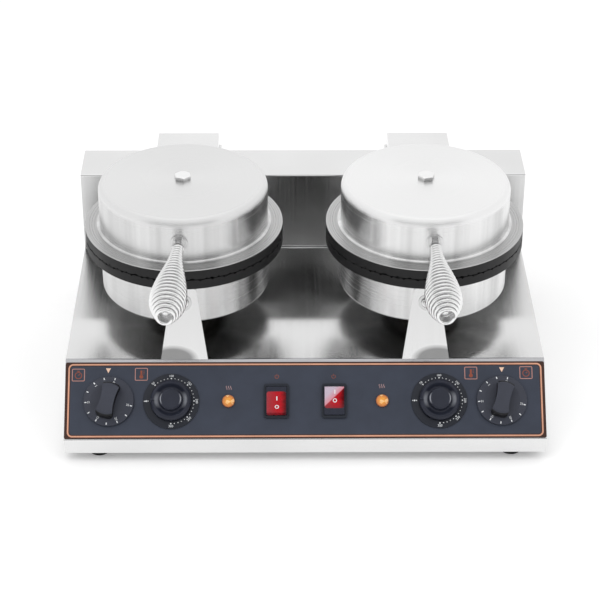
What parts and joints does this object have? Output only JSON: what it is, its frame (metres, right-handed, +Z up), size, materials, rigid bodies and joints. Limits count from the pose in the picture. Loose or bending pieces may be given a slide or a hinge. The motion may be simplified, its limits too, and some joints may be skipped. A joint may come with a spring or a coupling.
{
  "type": "waffle cone maker",
  "caption": "Counter-top waffle cone maker with hinged round baking irons side by side, coiled wire handles, a rear riser and a sloped panel of timers, thermostats, lamps and rocker switches.",
  "frame": {"origin": "on the counter, at the middle of the overall width and depth (handles and cord gland included)", "axes": "+Z up, +Y to the rear, +X to the right seen from the front; the control panel faces -Y"},
  "size_m": [0.49, 0.3959, 0.2364],
  "materials": {
    "stainless_sheet": "satin, nearly mirror-smooth on the deck and riser",
    "spun_stainless": "satin with fine turning lines",
    "plain_sheet": "plain mill finish",
    "bright_fasteners": "bright",
    "plated_wire": "bright plated wire",
    "turned_aluminium": "turned, fine concentric marks",
    "coated_plate": "cast, dark non-stick coating",
    "heater_sheath": "heat-dulled",
    "printed_panel": "satin blue-grey print",
    "black_knob": "fine satin",
    "black_nylon": "matt",
    "black_rubber": "matt",
    "cream_plastic": "matt",
    "cream_ceramic": "matt",
    "red_rocker": "glossy, lit from inside when on",
    "amber_lens": "glossy, slightly clear"
  },
  "bodies": {
    "base": {"base_housing": "stainless_sheet", "base_plate": "plain_sheet", "feet": "black_rubber", "riser_housing": "stainless_sheet", "rear_cover": "stainless_sheet", "cover_screws": "bright_fasteners", "control_panel": "printed_panel", "cord_gland": "black_nylon", "terminal_block": "cream_plastic", "bracket_bolts": "bright_fasteners", "hinge_pins": "bright_fasteners", "hinge_screws": "bright_fasteners", "left_timer_body": "plain_sheet", "left_thermostat_body": "cream_ceramic", "left_thermostat_dial": "black_knob", "left_switch_frame": "black_nylon", "left_heat_lamp": "amber_lens", "left_pedestal": "plain_sheet", "left_lower_shell": "spun_stainless", "left_lower_heater": "heater_sheath", "left_lower_plate": "coated_plate", "left_front_bracket": "stainless_sheet", "left_hinge_bracket": "plain_sheet", "right_timer_body": "plain_sheet", "right_thermostat_body": "cream_ceramic", "right_thermostat_dial": "black_knob", "right_switch_frame": "black_nylon", "right_heat_lamp": "amber_lens", "right_pedestal": "plain_sheet", "right_lower_shell": "spun_stainless", "right_lower_heater": "heater_sheath", "right_lower_plate": "coated_plate", "right_front_bracket": "stainless_sheet", "right_hinge_bracket": "plain_sheet"},
    "left_upper_iron": {"left_upper_plate": "coated_plate", "left_plate_ring": "turned_aluminium", "left_upper_heater": "heater_sheath", "left_upper_shell": "spun_stainless", "left_top_bolt": "bright_fasteners", "left_hinge_arm": "stainless_sheet", "left_handle_rod": "bright_fasteners", "left_handle_grip": "plated_wire"},
    "left_timer_dial": {"left_timer_shaft": "bright_fasteners", "left_timer_knob": "black_knob"},
    "left_thermostat_control": {"left_thermostat_shaft": "bright_fasteners", "left_thermostat_knob": "black_knob"},
    "left_rocker": {"left_rocker": "red_rocker"},
    "right_upper_iron": {"right_upper_plate": "coated_plate", "right_plate_ring": "turned_aluminium", "right_upper_heater": "heater_sheath", "right_upper_shell": "spun_stainless", "right_top_bolt": "bright_fasteners", "right_hinge_arm": "stainless_sheet", "right_handle_rod": "bright_fasteners", "right_handle_grip": "plated_wire"},
    "right_timer_dial": {"right_timer_shaft": "bright_fasteners", "right_timer_knob": "black_knob"},
    "right_thermostat_control": {"right_thermostat_shaft": "bright_fasteners", "right_thermostat_knob": "black_knob"},
    "right_rocker": {"right_rocker": "red_rocker"}
  },
  "joints": [
    {"name": "left_upper_iron_hinge", "type": "hinge", "parent": "base", "child": "left_upper_iron", "pos_m": [-0.126, 0.16503, 0.186], "axis": [-1, 0, 0], "range_deg": [0, 100]},
    {"name": "left_timer_turn", "type": "hinge", "parent": "base", "child": "left_timer_dial", "pos_m": [-0.2, -0.13861, 0.05342], "axis": [0, -0.695, 0.719], "range_deg": [-300, 0]},
    {"name": "left_thermostat_turn", "type": "hinge", "parent": "base", "child": "left_thermostat_control", "pos_m": [-0.1365, -0.13861, 0.05342], "axis": [0, -0.695, 0.719], "range_deg": [-270, 0]},
    {"name": "left_rocker_tilt", "type": "hinge", "parent": "base", "child": "left_rocker", "pos_m": [-0.0295, -0.13972, 0.05457], "axis": [1, 0, 0], "range_deg": [0, 18]},
    {"name": "right_upper_iron_hinge", "type": "hinge", "parent": "base", "child": "right_upper_iron", "pos_m": [0.126, 0.16503, 0.186], "axis": [-1, 0, 0], "range_deg": [0, 100]},
    {"name": "right_timer_turn", "type": "hinge", "parent": "base", "child": "right_timer_dial", "pos_m": [0.2, -0.13861, 0.05342], "axis": [0, -0.695, 0.719], "range_deg": [-300, 0]},
    {"name": "right_thermostat_turn", "type": "hinge", "parent": "base", "child": "right_thermostat_control", "pos_m": [0.1365, -0.13861, 0.05342], "axis": [0, -0.695, 0.719], "range_deg": [-270, 0]},
    {"name": "right_rocker_tilt", "type": "hinge", "parent": "base", "child": "right_rocker", "pos_m": [0.0295, -0.13972, 0.05457], "axis": [1, 0, 0], "range_deg": [-18, 0]}
  ]
}
